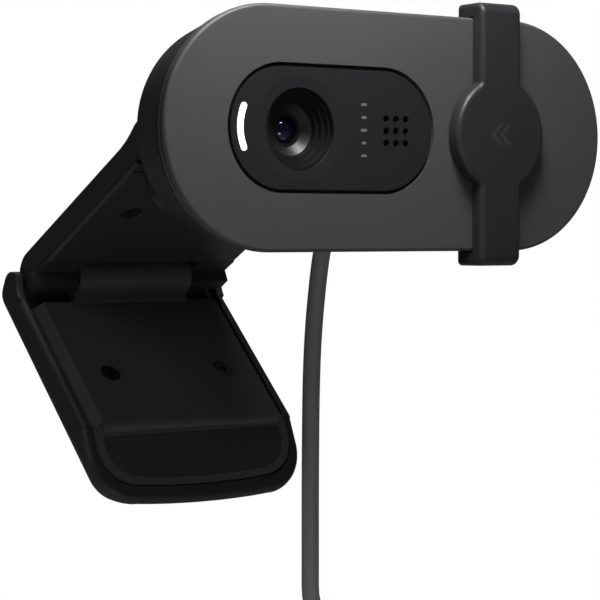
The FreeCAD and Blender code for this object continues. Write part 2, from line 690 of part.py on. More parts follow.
def make_leg_plate():
    low = leg_face - leg_plate_thick
    half = leg_plate_half
    face = face_of([V(-half, -leg_plate_start, low), V(half, -leg_plate_start, low),
                    V(half, -leg_plate_start, leg_face - leg_chamfer),
                    V(half - leg_chamfer, -leg_plate_start, leg_face),
                    V(-half + leg_chamfer, -leg_plate_start, leg_face),
                    V(-half, -leg_plate_start, leg_face - leg_chamfer),
                    V(-half, -leg_plate_start, low)])
    # The ridge is a round as large as one tangent to the face and to the foot.
    ridge_back = ridge_radius * math.tan(math.radians(leg_tip_angle) / 2)
    plate = face.extrude(V(0, -(leg_bend - ridge_back - leg_plate_start), 0))
    tip_top = leg_face - foot_step
    tip = tip_slab(half, 0, leg_tip_length, leg_tip_corner, tip_top - leg_tip_thick, tip_top)
    plate = plate.fuse(tip)
    plate = plate.fuse(lathe_x(ridge_radius, -half + leg_chamfer, half - leg_chamfer, -leg_bend + ridge_back,
                               leg_face - ridge_radius))
    knuckle = lathe_x(leg_barrel_r, -leg_barrel_half, leg_barrel_half)
    web = side_prism(leg_barrel_half, [(0, 0), (-leg_plate_start - 0.4, leg_face + 0.5),
                                       (-leg_plate_start - 0.4, low), (-1.6, -2.25), (0, 0)])
    plate = plate.fuse(knuckle).fuse(web.cut(lathe_x(1.0, -20, 20)))
    plate = plate.cut(tip_slab(half - pad_inset, pad_start, leg_tip_length - pad_inset + 0.2, leg_tip_corner - 0.8,
                               leg_face - foot_step - pad_thick - 0.05, leg_face + 3))
    for side in (-1, 1):
        x, y = side * leg_screw_x, -leg_screw_y
        plate = plate.cut(lathe_z(screw_head_r + 0.15, leg_face - 1.0, leg_face + 1, x, y))
        plate = plate.cut(lathe_z(screw_shank_r + fit_gap, low - 1, leg_face, x, y))
    plate = plate.cut(lathe_x(sleeve_r + run_gap, -leg_barrel_half - 1, leg_barrel_half + 1))
    keep("leg_inner_plate", plate, leg_frame)
    pad = tip_slab(half - pad_inset - 0.06, pad_start + 0.06, leg_tip_length - pad_inset + 0.14, leg_tip_corner - 0.86,
                   leg_face - foot_step - pad_thick, leg_face - foot_step - 0.05)
    keep("leg_pad", pad, leg_frame)
    screws = [screw_down(side * leg_screw_x, -leg_screw_y, leg_face - 0.15, 3.6) for side in (-1, 1)]
    keep("leg_screws", Part.makeCompound(screws), leg_frame)
    sleeve = lathe_x(sleeve_r, -leg_barrel_half + 0.1, leg_barrel_half - 0.1)
    keep("friction_sleeve", sleeve.cut(lathe_x(leg_pin_r + run_gap, -20, 20)), leg_frame)


def make_leg_shell():
    # Trough section down the leg: round rim edges and larger rounds along the back.
    half = leg_shell_half
    rim_z = leg_face - leg_rim_drop
    rim_r, back_r, back_z = leg_rim_radius, leg_back_radius, -leg_back_depth
    rim_c, back_c = rim_r * (1 - math.sqrt(0.5)), back_r * (1 - math.sqrt(0.5))
    end_y = -leg_bend - leg_tip_length - leg_rim - 6
    section = face_of([V(-half + rim_r, end_y, rim_z), V(half - rim_r, end_y, rim_z),
                       (V(half - rim_c, end_y, rim_z - rim_c), V(half, end_y, rim_z - rim_r)),
                       V(half, end_y, back_z + back_r),
                       (V(half - back_c, end_y, back_z + back_c), V(half - back_r, end_y, back_z)),
                       V(-half + back_r, end_y, back_z),
                       (V(-half + back_c, end_y, back_z + back_c), V(-half, end_y, back_z + back_r)),
                       V(-half, end_y, rim_z - rim_r),
                       (V(-half + rim_c, end_y, rim_z - rim_c), V(-half + rim_r, end_y, rim_z))])
    trough = section.extrude(V(0, 5.2 - end_y, 0))
    for side in (-1, 1):
        x0 = side * (half - 0.6) - 0.6
        trough = trough.fuse(block(x0, x0 + 1.2, -1.4, 5.2, back_z + back_r, 0))
    nose = side_prism(half + 1, [
        (end_y - 1, rim_z + 0.01), (-1.4, rim_z + 0.01), ((0.3, -2.3), (1.6, -1.0)),
        ((3.2, -1.9), (3.5, -4.4)), ((2.4, -7.0), (-3.0, back_z)), (end_y - 1, back_z),
        (end_y - 1, rim_z + 0.01)])
    # The foot follows the bent tip of the inner plate, with a round front edge along its outline.
    foot_drop = foot_step + 0.25
    foot_front = leg_face - foot_drop
    foot = tip_outline(half, -7.0, leg_tip_length + leg_rim, leg_tip_corner + leg_rim / 2,
                       foot_front - 14).extrude(V(0, 0, 14))
    rounds = []
    for edge in foot.Edges:
        box = edge.BoundBox
        if box.ZMin > foot_front - 1e-3 and box.YMin < -leg_bend + 6:
            rounds.append(edge)
    foot = tip_turn(foot.makeFillet(foot_rim_radius, rounds))
    # They meet where the foot's front plane comes level with the rim.
    bent = math.radians(leg_tip_angle)
    level = (leg_rim_drop + 0.08 - foot_drop * math.cos(bent)) / math.sin(bent)
    join_y = -leg_bend + foot_drop * math.sin(bent) - level * math.cos(bent)
    upper = block(-half - 1, half + 1, join_y, 8, back_z - 1, 2)
    lower = block(-half - 1, half + 1, end_y, join_y, back_z - 9, 2)
    shell = trough.common(nose).common(upper.fuse(foot.common(lower)))
    # Recess for the inner plate, the hollow under it and room for the arm's end.
    side_gap = 0.2
    low = leg_face - leg_plate_thick - 0.02
    seat = block(-leg_plate_half - side_gap, leg_plate_half + side_gap, -leg_bend, 10, low, 5)
    tip_low = leg_face - foot_step - leg_tip_thick - 0.02
    tip_seat = tip_slab(leg_plate_half + side_gap, -0.6, leg_tip_length + side_gap, leg_tip_corner, tip_low, 5)
    hollow_half = leg_plate_half - 2.0
    hollow = block(-hollow_half, hollow_half, -leg_bend + 1.5, -6.2, -leg_hollow_depth, low + 1)
    end_room = arm_end_r + 0.45
    room = lathe_x(end_room, -arm_half_width - 0.35, arm_half_width + 0.35)
    ridge_back = ridge_radius * math.tan(math.radians(leg_tip_angle) / 2)
    ridge_room = lathe_x(ridge_radius + 0.15, -leg_plate_half - side_gap, leg_plate_half + side_gap,
                         -leg_bend + ridge_back, leg_face - ridge_radius)
    shell = shell.cut(seat).cut(tip_seat).cut(hollow).cut(room).cut(ridge_room)
    for side in (-1, 1):
        boss = lathe_z(screw_boss_r, -leg_hollow_depth - 0.3, low - 0.02, side * leg_screw_x, -leg_screw_y)
        shell = shell.fuse(boss).cut(lathe_z(screw_shank_r, -leg_hollow_depth, low + 1,
                                             side * leg_screw_x, -leg_screw_y))
    keep("leg_shell", shell, leg_frame)


# Cable route in the head's frame, (y, z) points in the plane x = cable_x, from the relief to the coil
relief_end = relief_foot + exit_dir * relief_out
cable_route = [relief_end, V(cable_x, 20.6, -10.75), V(cable_x, 22.75, -13.6), V(cable_x, 24.4, -19.2),
               V(cable_x, 26.15, -30.6), V(cable_x, 26.5, -46.0),
               V(cable_x, coil_y, coil_z + coil_mean_r + coil_bundle_r - 1.0)]


def tube_along(points, diameter, name):
    # Straight runs joined by tangent arcs; prints every radius and compares the volume.
    edges = []
    here = points[0]
    length = 0.0
    for i in range(1, len(points) - 1):
        before, after = points[i] - points[i - 1], points[i + 1] - points[i]
        half_turn = before.getAngle(after) / 2
        shorter = min(before.Length, after.Length)
        radius = 0.45 * shorter / math.tan(half_turn)
        setback = 0.45 * shorter
        start = points[i] - before.normalize() * setback
        end = points[i] + after.normalize() * setback
        inward = (after - before).normalize()
        middle = points[i] + inward * (radius / math.cos(half_turn) - radius)
        edges.append(Part.LineSegment(here, start).toShape())
        edges.append(Part.Arc(start, middle, end).toShape())
        length += (start - here).Length + 2 * half_turn * radius
        here = end
        print(name, "turn", round(math.degrees(2 * half_turn), 1), "radius", round(radius, 1))
    edges.append(Part.LineSegment(here, points[-1]).toShape())
    length += (points[-1] - here).Length
    path = Part.Wire(edges)
    section = Part.Wire(Part.makeCircle(diameter / 2, points[0], points[1] - points[0]))
    tube = path.makePipeShell([section], True, False)
    area = math.pi * diameter ** 2 / 4
    print(name, "length", round(length, 2), "volume ratio", round(tube.Volume / (area * length), 5))
    return tube


def make_cable():
    keep("usb_cable", tube_along(cable_route, cable_d, "usb_cable"), head_frame)
    coil = Part.makeTorus(coil_mean_r, coil_bundle_r, V(coil_x, coil_y, coil_z), Y_AXIS)
    flat_z = cable_route[-1].z
    coil = coil.cut(block(coil_x - 30, coil_x + 30, coil_y - 10, coil_y + 10, flat_z, flat_z + 10))
    tail_x = coil_x + coil_mean_r + 2.4
    tail_start, tail_end = coil_z - 8.0, coil_z - 22.0
    tail = lathe_z(cable_d / 2, tail_end, tail_start, tail_x, coil_y)
    coil = coil.cut(lathe_z(cable_d / 2 + 0.01, tail_end, tail_start, tail_x, coil_y))
    keep("cable_coil", coil, head_frame)
    keep("cable_tail", tail, head_frame)
    angle = math.radians(-160)
    band_middle = V(coil_x + coil_mean_r * math.cos(angle), coil_y, coil_z + coil_mean_r * math.sin(angle))
    along = V(-math.sin(angle), 0, math.cos(angle))
    outer = Part.makeCylinder(coil_bundle_r + 0.9, 3.0, band_middle - along * 1.5, along)
    inner = Part.makeTorus(coil_mean_r, coil_bundle_r + 0.02, V(coil_x, coil_y, coil_z), Y_AXIS)
    keep("cable_tie", outer.cut(inner), head_frame)
    make_plug(tail_x, tail_end)


def make_plug(x, top):
    relief_long, grip_long, shell_long = 7.0, 17.0, 12.0
    relief = Part.makeCone(2.7, cable_d / 2 + 0.4, relief_long, V(x, coil_y, top - relief_long), Z_AXIS)
    grip_top = top - relief_long
    grip_bottom = grip_top - grip_long
    grip = block(x - 7.8, x + 7.8, coil_y - 3.9, coil_y + 3.9, grip_bottom, grip_top)
    uprights = [e for e in grip.Edges if e.BoundBox.ZLength > 0.9 * grip_long]
    grip = grip.makeFillet(2.4, uprights)
    ends = [e for e in grip.Edges if e.BoundBox.ZLength < 1e-4]
    grip = grip.makeFillet(0.8, ends)
    half_w, half_h = plug_width / 2, plug_height / 2
    wall = 0.3
    shell_top = grip_bottom
    shell_bottom = shell_top - shell_long
    root = 4.0
    pocket = block(x - half_w - run_gap, x + half_w + run_gap, coil_y - half_h - run_gap,
                   coil_y + half_h + run_gap, grip_bottom - 1, grip_bottom + root)
    keep("plug_grip", grip.cut(pocket), head_frame)
    keep("plug_relief", relief, head_frame)
    shell = block(x - half_w, x + half_w, coil_y - half_h, coil_y + half_h, shell_bottom, shell_top + root - 0.1)
    shell = shell.cut(block(x - half_w + wall, x + half_w - wall, coil_y - half_h + wall,
                            coil_y + half_h - wall, shell_bottom - 1, shell_top + root + 1))
    for side in (-1, 1):
        hole_x = x + side * 3.0
        shell = shell.cut(block(hole_x - 1.1, hole_x + 1.1, coil_y - 5, coil_y + 5,
                                shell_bottom + 5.0, shell_bottom + 7.3))
    keep("plug_shell", shell, head_frame)
    tongue = block(x - half_w + wall + 0.05, x + half_w - wall - 0.05, coil_y + 0.1,
                   coil_y + half_h - wall - 0.05, shell_bottom + 0.6, shell_top + root - 0.2)
    keep("plug_tongue", tongue, head_frame)
    contacts = []
    for index in range(4):
        cx = x + (index - 1.5) * 2.3
        contacts.append(block(cx - 0.55, cx + 0.55, coil_y - 0.1, coil_y + 0.1, shell_bottom + 1.2,
                              shell_bottom + 9.0))
    keep("plug_contacts", Part.makeCompound(contacts), head_frame)


make_front_plate()
make_front_frame()
make_lens_panel()
make_lens_shroud()
make_optics()
make_electronics()
make_rear_housing()
make_tilt_bracket()
make_cable_relief()
make_shutter()
make_arm_cover()
make_arm_base()
make_hinge_hardware()
make_leg_plate()
make_leg_shell()
make_cable()

print("tilt axis", tilt_axis, "hinge axis", hinge_axis, "head", head_frame.Base)
os.makedirs("parts", exist_ok=True)
for name, shape in nodes.items():
    solids = shape.Solids
    sound = shape.isValid() and all(s.isClosed() for s in solids)
    print(name, len(solids), "volume", round(shape.Volume, 1), "sound" if sound else "NOT SOUND")
    shape.exportStep("parts/" + name + ".step")
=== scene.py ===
import math
import bmesh
import bpy
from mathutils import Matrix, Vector


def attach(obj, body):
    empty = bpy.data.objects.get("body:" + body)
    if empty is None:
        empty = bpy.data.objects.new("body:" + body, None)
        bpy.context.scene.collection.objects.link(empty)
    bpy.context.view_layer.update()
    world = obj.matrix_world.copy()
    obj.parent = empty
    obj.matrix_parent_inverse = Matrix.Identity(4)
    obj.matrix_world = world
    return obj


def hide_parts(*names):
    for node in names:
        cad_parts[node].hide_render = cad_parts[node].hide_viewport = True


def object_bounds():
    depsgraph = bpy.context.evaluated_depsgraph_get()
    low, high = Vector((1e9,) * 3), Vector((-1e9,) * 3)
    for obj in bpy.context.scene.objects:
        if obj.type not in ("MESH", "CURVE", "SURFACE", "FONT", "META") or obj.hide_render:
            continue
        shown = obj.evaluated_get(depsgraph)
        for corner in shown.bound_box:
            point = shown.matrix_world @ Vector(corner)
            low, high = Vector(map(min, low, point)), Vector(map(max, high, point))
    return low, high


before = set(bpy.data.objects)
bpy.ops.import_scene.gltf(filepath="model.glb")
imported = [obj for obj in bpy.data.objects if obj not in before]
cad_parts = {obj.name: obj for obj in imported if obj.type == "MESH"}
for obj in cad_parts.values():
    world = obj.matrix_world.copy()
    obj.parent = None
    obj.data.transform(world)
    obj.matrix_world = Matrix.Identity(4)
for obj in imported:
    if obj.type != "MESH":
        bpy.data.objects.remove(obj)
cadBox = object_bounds()
mm = 0.001
mmInMetre = 1000
headBase = Vector((15.7, -29.405055, 12.066407))  # the plate centre's place in the row frame, mm


def inHead(x, y, z):  # a point given from the plate centre, mm, as row metres
    return (headBase + Vector((x, y, z))) * mm


cameraSet = {  # place and lens in mm, angles in degrees
    "place": (-155.11, -254.115, -0.994), "lens": 125.69, "sensor": 36.0, "clipStart": 0.01,
    "azimuth": -34.582, "down": 1.931}


def addCamera():
    data = bpy.data.cameras.new("productCamera")
    data.lens = cameraSet["lens"]
    data.sensor_width = cameraSet["sensor"]
    data.clip_start = cameraSet["clipStart"]
    camera = bpy.data.objects.new("productCamera", data)
    camera.location = Vector(cameraSet["place"]) * mm
    pitch, turn = 90 - cameraSet["down"], cameraSet["azimuth"]
    camera.rotation_euler = (math.radians(pitch), 0, math.radians(turn))
    bpy.context.collection.objects.link(camera)
    bpy.context.scene.camera = camera


lights = {  # place in metres, size, watts, colour
    "nearSoftbox": ((0.000, -0.064, 0.084), 0.040, 0.100, (1.0, 0.99, 0.98)),
    "keySoftbox": ((-0.32, -0.30, 0.34), 0.22, 0.24, (1.0, 0.99, 0.98)),
    "leftSoftbox": ((-0.80, 0.05, 0.02), 0.35, 0.14, (0.95, 0.96, 1.0)),
    "topSoftbox": ((0.05, 0.10, 0.70), 0.40, 0.8, (1.0, 1.0, 1.0)),
    "lowSoftbox": ((-0.10, -0.36, -0.16), 0.10, 0.16, (1.0, 1.0, 1.0)),
}
lightAim = (0.0, -0.01, 0.0)
worldSet = {"seen": 1.0, "lighting": 0.03}
floorSet = {"drop": 12.0, "size": 8.0, "white": 0.8, "roughness": 0.8}  # drop in mm, size in metres


def addLights():
    for name, (place, size, watts, colour) in lights.items():
        data = bpy.data.lights.new(name, "AREA")
        data.shape = "DISK"
        data.size = size
        data.energy = watts
        data.color = colour
        lamp = bpy.data.objects.new(name, data)
        lamp.location = place
        aim = Vector(lightAim) - Vector(place)
        lamp.rotation_euler = aim.to_track_quat("-Z", "Y").to_euler()
        bpy.context.collection.objects.link(lamp)
    world = bpy.data.worlds.new("paleRoom")
    world.use_nodes = True
    tree = world.node_tree
    ground = tree.nodes["Background"]
    ground.inputs["Color"].default_value = (1, 1, 1, 1)
    ground.inputs["Strength"].default_value = worldSet["lighting"]
    seen = tree.nodes.new("ShaderNodeBackground")
    seen.inputs["Color"].default_value = (1, 1, 1, 1)
    seen.inputs["Strength"].default_value = worldSet["seen"]
    path = tree.nodes.new("ShaderNodeLightPath")
    mix = tree.nodes.new("ShaderNodeMixShader")
    tree.links.new(path.outputs["Is Camera Ray"], mix.inputs["Fac"])
    tree.links.new(ground.outputs[0], mix.inputs[1])
    tree.links.new(seen.outputs[0], mix.inputs[2])
    tree.links.new(mix.outputs[0], tree.nodes["World Output"].inputs["Surface"])
    bpy.context.scene.world = world
    bpy.context.scene.view_settings.view_transform = "Standard"


def addFloor():
    bm = bmesh.new()
    bmesh.ops.create_grid(bm, x_segments=1, y_segments=1, size=floorSet["size"])
    bmesh.ops.translate(bm, verts=bm.verts, vec=(0, 0, cadBox[0][2] - floorSet["drop"] * mm))
    floor = meshObject("studioFloor", bm)
    material, shader, tree = newMaterial("studioFloorWhite")
    shader.inputs["Base Color"].default_value = (floorSet["white"],) * 3 + (1,)
    shader.inputs["Roughness"].default_value = floorSet["roughness"]
    glow = tree.nodes.new("ShaderNodeEmission")
    path = tree.nodes.new("ShaderNodeLightPath")
    mix = tree.nodes.new("ShaderNodeMixShader")
    tree.links.new(path.outputs["Is Camera Ray"], mix.inputs["Fac"])
    tree.links.new(shader.outputs[0], mix.inputs[1])
    tree.links.new(glow.outputs[0], mix.inputs[2])
    tree.links.new(mix.outputs[0], tree.nodes["Material Output"].inputs["Surface"])
    floor.data.materials.append(material)


def meshObject(name, bm):
    mesh = bpy.data.meshes.new(name)
    bm.to_mesh(mesh)
    bm.free()
    made = bpy.data.objects.new(name, mesh)
    bpy.context.collection.objects.link(made)
    return made


def newMaterial(name):
    material = bpy.data.materials.new(name)
    material.use_nodes = True
    tree = material.node_tree
    return material, tree.nodes["Principled BSDF"], tree


def ownSpace(tree, stretch=(1.0, 1.0, 1.0)):  # object coordinates in millimetres
    place = tree.nodes.new("ShaderNodeTexCoord")
    mapping = tree.nodes.new("ShaderNodeMapping")
    mapping.inputs["Scale"].default_value = tuple(mmInMetre * s for s in stretch)
    tree.links.new(place.outputs["Object"], mapping.inputs["Vector"])
    return mapping.outputs["Vector"]


def noise(tree, vector, scale, detail=3.0, rough=0.5):
    node = tree.nodes.new("ShaderNodeTexNoise")
    node.inputs["Scale"].default_value = scale
    node.inputs["Detail"].default_value = detail
    node.inputs["Roughness"].default_value = rough
    tree.links.new(vector, node.inputs["Vector"])
    return node.outputs["Fac"]


noiseBand = (0.3, 0.7)  # most of a noise texture's values lie between these


def spread(tree, value, low, high):
    node = tree.nodes.new("ShaderNodeMapRange")
    node.inputs["From Min"].default_value = noiseBand[0]
    node.inputs["From Max"].default_value = noiseBand[1]
    node.inputs["To Min"].default_value = low
    node.inputs["To Max"].default_value = high
    tree.links.new(value, node.inputs["Value"])
    return node.outputs["Result"]


def blendColours(tree, factor, first, second):
    node = tree.nodes.new("ShaderNodeMix")
    node.data_type = "RGBA"
    node.inputs[6].default_value = (*first, 1)
    node.inputs[7].default_value = (*second, 1)
    tree.links.new(factor, node.inputs[0])
    return node.outputs[2]


def bump(tree, shader, height, strength, distance):
    node = tree.nodes.new("ShaderNodeBump")
    node.inputs["Strength"].default_value = strength
    node.inputs["Distance"].default_value = distance * mm
    tree.links.new(height, node.inputs["Height"])
    tree.links.new(node.outputs["Normal"], shader.inputs["Normal"])


# Moulded plastics: colour, second colour, roughness from and to, grain per mm, depth in mm, coat
plastics = {
    "plateGraphite": ((0.078, 0.079, 0.082), (0.088, 0.089, 0.093), 0.42, 0.52, 2.6, 0.020, 0.0),
    "bandGraphite": ((0.080, 0.081, 0.085), (0.095, 0.096, 0.100), 0.36, 0.46, 2.6, 0.012, 0.0),
    "housingGraphite": ((0.034, 0.033, 0.038), (0.042, 0.041, 0.047), 0.42, 0.55, 2.2, 0.025, 0.0),
    "armGraphite": ((0.030, 0.030, 0.034), (0.038, 0.038, 0.042), 0.42, 0.55, 2.2, 0.022, 0.0),
    "legShellBlack": ((0.030, 0.030, 0.034), (0.038, 0.038, 0.042), 0.40, 0.52, 2.2, 0.022, 0.0),
    # The leg face colour is the dark leg plastic raised far above the leg shell's: painted light
    # standing in for the light that falls on the upward-facing leg face.
    "legFaceBlackPaintedLight": ((0.078, 0.078, 0.082), (0.092, 0.092, 0.097), 0.38, 0.50, 2.4, 0.018, 0.0),
    "armBaseBlack": ((0.034, 0.034, 0.036), (0.044, 0.044, 0.047), 0.42, 0.55, 2.4, 0.018, 0.0),
    "shutterBlack": ((0.026, 0.027, 0.029), (0.033, 0.034, 0.036), 0.36, 0.46, 2.6, 0.016, 0.0),
    "panelBlack": ((0.020, 0.021, 0.023), (0.024, 0.025, 0.027), 0.30, 0.36, 1.2, 0.003, 0.3),
    "shroudBlack": ((0.010, 0.010, 0.011), (0.015, 0.015, 0.017), 0.34, 0.46, 2.0, 0.006, 0.0),
    "innerBlack": ((0.020, 0.020, 0.022), (0.028, 0.028, 0.031), 0.45, 0.60, 2.0, 0.012, 0.0),
    "plugBlack": ((0.026, 0.026, 0.028), (0.036, 0.036, 0.039), 0.38, 0.50, 2.2, 0.020, 0.0),
    "headerNylon": ((0.74, 0.71, 0.62), (0.80, 0.77, 0.69), 0.35, 0.45, 1.5, 0.006, 0.0),
    "chipEpoxy": ((0.018, 0.018, 0.019), (0.028, 0.028, 0.030), 0.50, 0.65, 3.0, 0.010, 0.0),
    "tongueWhite": ((0.78, 0.78, 0.78), (0.84, 0.84, 0.83), 0.30, 0.40, 1.5, 0.004, 0.0),
    "padRubber": ((0.034, 0.033, 0.038), (0.042, 0.041, 0.047), 0.62, 0.78, 2.8, 0.030, 0.0),
    "feltBlack": ((0.014, 0.014, 0.015), (0.040, 0.040, 0.042), 0.90, 1.00, 5.0, 0.060, 0.0),
}
mouldSet = {"detail": 4.0, "harsh": 0.6, "cloud": 0.09, "coatRoughness": 0.12, "bump": 0.5}


def plasticMaterial(name):
    first, second, smooth, rough, grain, depth, coat = plastics[name]
    material, shader, tree = newMaterial(name)
    space = ownSpace(tree)
    fine = noise(tree, space, grain, mouldSet["detail"], mouldSet["harsh"])
    broad = noise(tree, space, mouldSet["cloud"], 2.0)
    tree.links.new(blendColours(tree, broad, first, second), shader.inputs["Base Color"])
    tree.links.new(spread(tree, fine, smooth, rough), shader.inputs["Roughness"])
    shader.inputs["Coat Weight"].default_value = coat
    shader.inputs["Coat Roughness"].default_value = mouldSet["coatRoughness"]
    bump(tree, shader, fine, mouldSet["bump"], depth)
    return material


# Metals: colour, roughness from and to, brush stretch
metals = {
    "screwZinc": ((0.16, 0.16, 0.175), 0.28, 0.45, (1.0, 1.0, 1.0)),
    "pinSteel": ((0.52, 0.53, 0.55), 0.22, 0.36, (6.0, 0.3, 0.3)),
    "plugSteel": ((0.70, 0.71, 0.73), 0.14, 0.30, (0.3, 6.0, 0.3)),
    "canSteel": ((0.66, 0.64, 0.58), 0.25, 0.38, (1.0, 1.0, 1.0)),
    "contactGold": ((0.80, 0.58, 0.22), 0.18, 0.28, (1.0, 1.0, 1.0)),
}
brushSet = {"grain": 1.6, "detail": 4.0, "harsh": 0.6, "dull": 0.82, "bump": 0.25, "depth": 0.004}


def metalMaterial(name):
    colour, smooth, rough, stretch = metals[name]
    material, shader, tree = newMaterial(name)
    space = ownSpace(tree, stretch)
    brushed = noise(tree, space, brushSet["grain"], brushSet["detail"], brushSet["harsh"])
    dull = tuple(c * brushSet["dull"] for c in colour)
    tree.links.new(blendColours(tree, brushed, colour, dull), shader.inputs["Base Color"])
    tree.links.new(spread(tree, brushed, smooth, rough), shader.inputs["Roughness"])
    shader.inputs["Metallic"].default_value = 1.0
    bump(tree, shader, brushed, brushSet["bump"], brushSet["depth"])
    return material


# Glass and silicon: colour, tint of the coating
glasses = {
    "frontGlass": ((0.012, 0.010, 0.020), (0.75, 0.70, 1.0)),
    "rearGlass": ((0.010, 0.012, 0.016), (0.75, 0.85, 1.0)),
    "filterGlass": ((0.05, 0.09, 0.10), (0.8, 1.0, 1.0)),
    "sensorDie": ((0.03, 0.04, 0.06), (0.9, 0.8, 1.0)),
}
glassSet = {"cloud": 0.5, "deep": 0.6, "roughness": 0.06, "ior": 1.7, "coatRoughness": 0.03}


def lensMaterial(name):  # coated glass over a dark inside
    colour, tint = glasses[name]
    material, shader, tree = newMaterial(name)
    broad = noise(tree, ownSpace(tree), glassSet["cloud"], 2.0)
    deep = tuple(c * glassSet["deep"] for c in colour)
    tree.links.new(blendColours(tree, broad, colour, deep), shader.inputs["Base Color"])
    shader.inputs["Roughness"].default_value = glassSet["roughness"]
    shader.inputs["IOR"].default_value = glassSet["ior"]
    shader.inputs["Specular Tint"].default_value = (*tint, 1)
    shader.inputs["Coat Weight"].default_value = 1.0
    shader.inputs["Coat Roughness"].default_value = glassSet["coatRoughness"]
    shader.inputs["Coat Tint"].default_value = (*tint, 1)
    return material


guideSet = {"white": (1.0, 1.0, 1.0), "cool": (0.96, 0.98, 1.0), "cloud": 1.2, "glow": 1.1,
            "roughness": 0.3}


def lightGuideMaterial():
    material, shader, tree = newMaterial("lightGuideWhite")
    cloud = noise(tree, ownSpace(tree), guideSet["cloud"], 2.0)
    glow = blendColours(tree, cloud, guideSet["white"], guideSet["cool"])
    tree.links.new(glow, shader.inputs["Base Color"])
    tree.links.new(glow, shader.inputs["Emission Color"])
    shader.inputs["Emission Strength"].default_value = guideSet["glow"]
    shader.inputs["Roughness"].default_value = guideSet["roughness"]
    return material


boardSet = {"mask": (0.010, 0.110, 0.045, 1), "maskLight": (0.012, 0.130, 0.055, 1),
            "track": (0.025, 0.210, 0.095, 1), "scale": 0.6, "trackWidth": 0.03, "cloud": 0.8,
            "roughness": (0.25, 0.4)}


def boardMaterial():
    material, shader, tree = newMaterial("boardGreen")
    space = ownSpace(tree)
    tracks = tree.nodes.new("ShaderNodeTexBrick")
    tracks.inputs["Scale"].default_value = boardSet["scale"]
    tracks.inputs["Mortar Size"].default_value = boardSet["trackWidth"]
    tracks.inputs["Color1"].default_value = boardSet["mask"]
    tracks.inputs["Color2"].default_value = boardSet["maskLight"]
    tracks.inputs["Mortar"].default_value = boardSet["track"]
    turn = tree.nodes.new("ShaderNodeMapping")
    turn.inputs["Rotation"].default_value = (math.radians(90), 0, 0)
    tree.links.new(space, turn.inputs["Vector"])
    tree.links.new(turn.outputs["Vector"], tracks.inputs["Vector"])
    tree.links.new(tracks.outputs["Color"], shader.inputs["Base Color"])
    cloud = noise(tree, space, boardSet["cloud"])
    tree.links.new(spread(tree, cloud, *boardSet["roughness"]), shader.inputs["Roughness"])
    return material


# Jacket greys: the cable's own grey made several times lighter, painted light standing in for the
# highlight and for the light that the head's shadow keeps off the cable.
jacketSet = {"jacketGreyPaintedLight": (0.30, 0.30, 0.305), "jacketPaleGreyPaintedLight": (0.34, 0.34, 0.345), "grain": 3.2,
             "detail": 4.0, "harsh": 0.6, "cloud": 0.12, "roughness": (0.40, 0.52), "bump": 0.4,
             "depth": 0.012}


def cableMaterial():
    material, shader, tree = newMaterial("cableJacket")
    space = ownSpace(tree)
    fine = noise(tree, space, jacketSet["grain"], jacketSet["detail"], jacketSet["harsh"])
    cloud = noise(tree, space, jacketSet["cloud"], 2.0)
    # the jacket colour, with its painted light, varied by a broad noise
    colour = blendColours(tree, cloud, jacketSet["jacketGreyPaintedLight"], jacketSet["jacketPaleGreyPaintedLight"])
    tree.links.new(colour, shader.inputs["Base Color"])
    tree.links.new(spread(tree, fine, *jacketSet["roughness"]), shader.inputs["Roughness"])
    bump(tree, shader, fine, jacketSet["bump"], jacketSet["depth"])
    return material


cable = {  # from the plate centre, mm, but the length is in metres
    "diameter": 2.6, "length": 1.45, "x": 4.2, "exit": (4.2, 17.484, -8.70),
    "coilCentre": (0.4, 26.5, -94.2), "coilRadius": 16.0, "startDegrees": 62.0,
    "turnDegrees": 335, "stepDegrees": 15, "leaveDegrees": (350, 12), "tailOut": 18.4,
}
cableRoute = [  # (back, up) of each point, mm, as far as the coil
    (17.484, -8.70), (20.6, -10.75), (22.75, -13.6), (24.4, -19.2), (26.15, -30.6),
    (26.5, -46.0), (26.5, -62.0), (26.5, -69.0)]
strandSlots = [  # (across, out) of each turn in the bundle, in the order of winding, mm
    (0.0, 3.55), (-2.6, 3.55), (-3.9, 1.3), (-3.9, -1.3), (-2.6, -3.55), (-1.3, -1.3),
    (-1.3, 1.3), (1.3, 1.3), (1.3, -1.3), (0.0, -3.55), (2.6, -3.55), (3.9, -1.3), (3.9, 1.3),
    (2.6, 3.55)]
cableTail = [(0.9, 1.6, -6), (0, 0.3, -13), (0, 0, -18.0), (0, 0, -22.0)]  # from the coil, mm


def addCable():
    points = [(cable["x"], y, z) for y, z in cableRoute]
    cx, cy, cz = cable["coilCentre"]
    step = cable["stepDegrees"]
    angle = cable["startDegrees"]
    leaveAfter, leaveBefore = cable["leaveDegrees"]
    for number, (across, out) in enumerate(strandSlots):
        last = number == len(strandSlots) - 1
        turned = 0
        while turned < cable["turnDegrees"] - step:
            r = cable["coilRadius"] + out
            a = math.radians(angle)
            points.append((cx + r * math.cos(a), cy + across, cz + r * math.sin(a)))
            turned += step
            angle -= step
            if last and (angle % 360 <= leaveBefore or angle % 360 > leaveAfter):
                break
        angle -= step
    tailX = cx + cable["tailOut"]
    points += [(tailX + x, cy + y, cz + z) for x, y, z in cableTail]
    curve = bpy.data.curves.new("usbCable", "CURVE")
    curve.dimensions = "3D"
    curve.bevel_depth = cable["diameter"] / 2 * mm
    curve.bevel_resolution = 5
    curve.use_fill_caps = True
    curve.resolution_u = 5
    spline = curve.splines.new("NURBS")
    spline.points.add(len(points) - 1)
    for at, point in zip(spline.points, points):
        at.co = (*inHead(*point), 1)
    spline.order_u = 3
    spline.use_endpoint_u = True
    piece = bpy.data.objects.new("usbCable", curve)
    bpy.context.collection.objects.link(piece)
    piece.data.materials.append(cableMaterial())
    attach(piece, "camera_head")
    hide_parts("usb_cable", "cable_coil", "cable_tail")
    print("cable wound with", len(points), "points")


